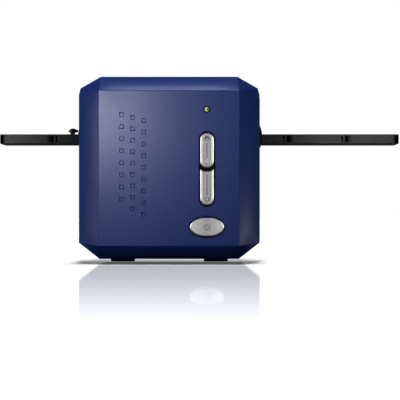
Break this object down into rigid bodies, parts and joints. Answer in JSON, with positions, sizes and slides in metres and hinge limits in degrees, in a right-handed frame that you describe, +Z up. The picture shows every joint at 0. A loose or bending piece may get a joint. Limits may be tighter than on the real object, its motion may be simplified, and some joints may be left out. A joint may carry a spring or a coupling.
{
  "type": "film negative scanner",
  "caption": "Faceted desktop film scanner with push buttons and a status lamp on its front, and a long film holder that slides sideways through a slot in the casing.",
  "frame": {"origin": "on the standing surface, under the middle of the casing and between the four feet", "axes": "+X along the film holder, to the right seen from the front; +Y from the front to the back; +Z up"},
  "size_m": [0.26, 0.2735, 0.1192],
  "materials": {
    "navy_paint": "satin metallic paint on moulded plastic",
    "black_plastic": "fine-grained black moulding",
    "holder_plastic": "satin charcoal moulding",
    "silver_cap": "satin silver paint",
    "lamp_green": "lit yellow-green lens",
    "rubber": "matt",
    "steel": "ground",
    "aluminium": "cast, unpainted",
    "brass": "turned",
    "inner_plastic": "dark inner moulding",
    "circuit_board": "solder-masked board",
    "component_black": "moulded component",
    "white_plastic": "milky sheet",
    "mirror": "front-silvered",
    "lens_glass": "coated",
    "ribbon": "flat cable"
  },
  "bodies": {
    "casing": {"front_fascia": "navy_paint", "upper_shell": "navy_paint", "base_shell": "navy_paint", "rear_panel": "black_plastic", "right_slot_bezel": "black_plastic", "left_slot_bezel": "black_plastic", "button_frame": "black_plastic", "rubber_feet": "rubber", "led_lens": "lamp_green", "front_board": "circuit_board", "button_switches": "component_black", "power_led": "lamp_green", "front_board_screws": "steel", "front_ribbon": "ribbon", "case_screws": "steel", "chassis": "aluminium", "chassis_screws": "steel", "guide_rods": "steel", "stepper_motor": "steel", "home_sensor": "component_black", "film_track": "inner_plastic", "detent_spring": "steel", "lamp_housing": "inner_plastic", "lamp_diffuser": "white_plastic", "lamp_board": "circuit_board", "lamp_leds": "white_plastic", "main_board": "circuit_board", "main_board_screws": "steel", "board_chips": "component_black", "board_capacitors": "aluminium", "usb_socket": "steel", "power_socket": "component_black"},
    "upper_button": {"upper_button": "silver_cap"},
    "lower_button": {"lower_button": "silver_cap"},
    "power_button": {"power_button": "silver_cap"},
    "film_holder": {"holder_base": "holder_plastic", "holder_lid": "holder_plastic", "holder_hinge_pins": "steel"},
    "latch": {"holder_latch": "black_plastic"},
    "scan_carriage": {"carriage": "inner_plastic", "carriage_bushes": "brass", "drive_nut": "brass", "fold_mirror": "mirror", "lens_barrel": "aluminium", "lens_glasses": "lens_glass", "lens_clamp": "steel", "sensor_board": "circuit_board", "line_sensor": "component_black", "sensor_ribbon": "ribbon"},
    "drive_screw": {"lead_screw": "steel"}
  },
  "joints": [
    {"name": "upper_button_press", "type": "slide", "parent": "casing", "child": "upper_button", "axis": [0, 1, 0], "range_m": [0, 0.001], "stiffness_N_per_m": 900},
    {"name": "lower_button_press", "type": "slide", "parent": "casing", "child": "lower_button", "axis": [0, 1, 0], "range_m": [0, 0.001], "stiffness_N_per_m": 900},
    {"name": "power_button_press", "type": "slide", "parent": "casing", "child": "power_button", "axis": [0, 1, 0], "range_m": [0, 0.001], "stiffness_N_per_m": 900},
    {"name": "holder_slide", "type": "slide", "parent": "casing", "child": "film_holder", "axis": [1, 0, 0], "range_m": [-0.114, 0.076]},
    {"name": "latch_turn", "type": "hinge", "parent": "film_holder", "child": "latch", "pos_m": [-0.06366, -0.0665, 0.083], "axis": [0, 0, 1], "range_deg": [0, 90]},
    {"name": "carriage_slide", "type": "slide", "parent": "casing", "child": "scan_carriage", "axis": [0, 1, 0], "range_m": [0, 0.03], "deforming": ["sensor_ribbon"]},
    {"name": "screw_turn", "type": "hinge", "parent": "casing", "child": "drive_screw", "pos_m": [-0.041, 0.06, 0.0355], "axis": [0, 1, 0], "range_deg": [-3600, 0]}
  ],
  "couplings": [
    {"joint": "screw_turn", "follows": "carriage_slide", "rad_per_m": -2094.4}
  ]
}
